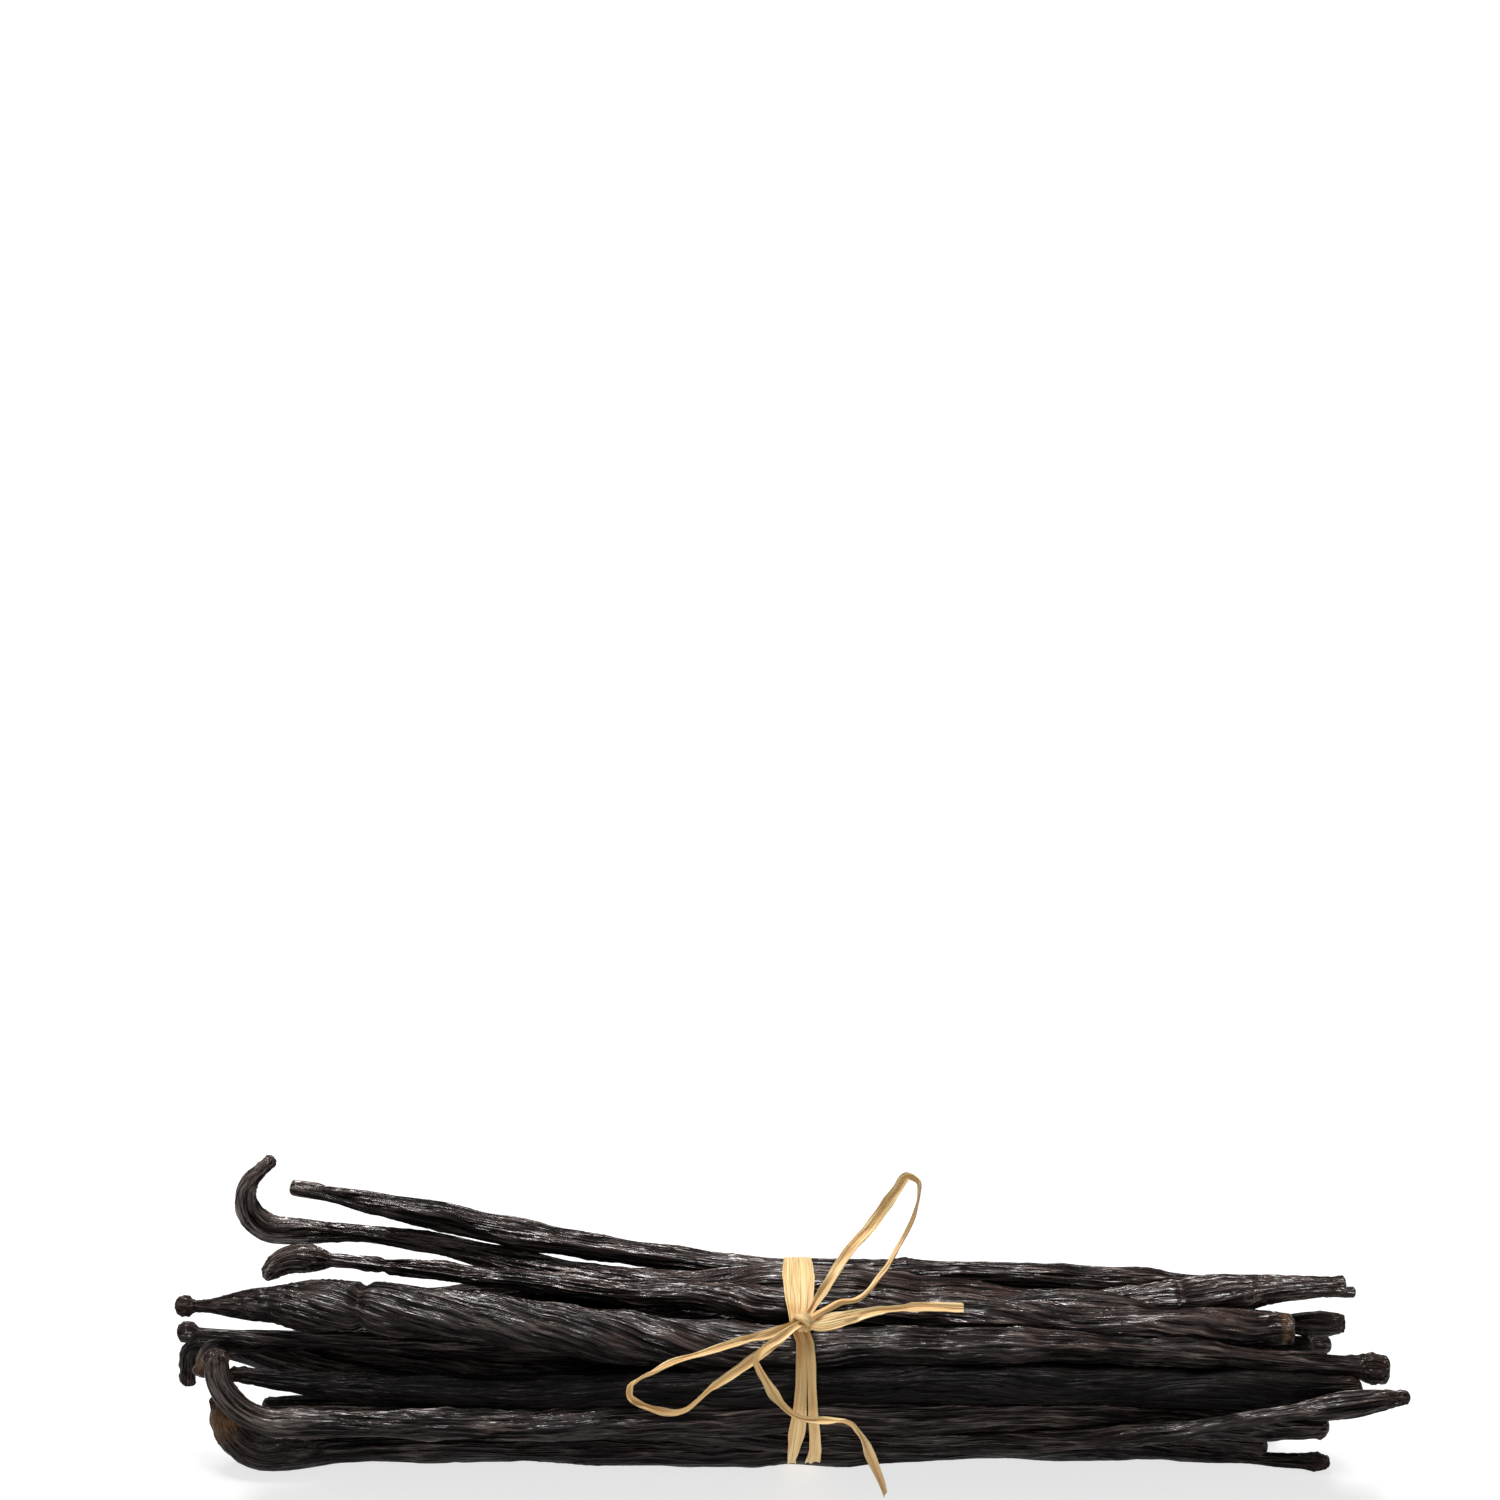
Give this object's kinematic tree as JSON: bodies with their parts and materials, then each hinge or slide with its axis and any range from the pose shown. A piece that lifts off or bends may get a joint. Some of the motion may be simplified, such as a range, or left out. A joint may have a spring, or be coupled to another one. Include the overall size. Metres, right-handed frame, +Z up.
{
  "type": "bundle of vanilla pods",
  "caption": "Bundle of long, thin, dark cured vanilla pods, some with curled ends, tied round the middle with a strip of raffia in a loose bow.",
  "frame": {"origin": "middle of the bundle's length and depth, on the surface that it lies on", "axes": "+X along the pods, towards their plain ends; +Y away from the knot of the tie; +Z up"},
  "size_m": [0.1895, 0.0418, 0.0444],
  "materials": {
    "vanilla_pod": "oily, finely wrinkled lengthways, near black brown with a grey sheen",
    "raffia": "dry pale straw, satin, with fine fibres along the strip"
  },
  "bodies": {
    "root": {"vanilla_pods": "vanilla_pod", "raffia_wrap_left": "raffia", "raffia_wrap_right": "raffia", "raffia_knot": "raffia", "raffia_loop_left": "raffia", "raffia_loop_right": "raffia", "raffia_tail_right": "raffia", "raffia_tail_front": "raffia"}
  },
  "joints": []
}
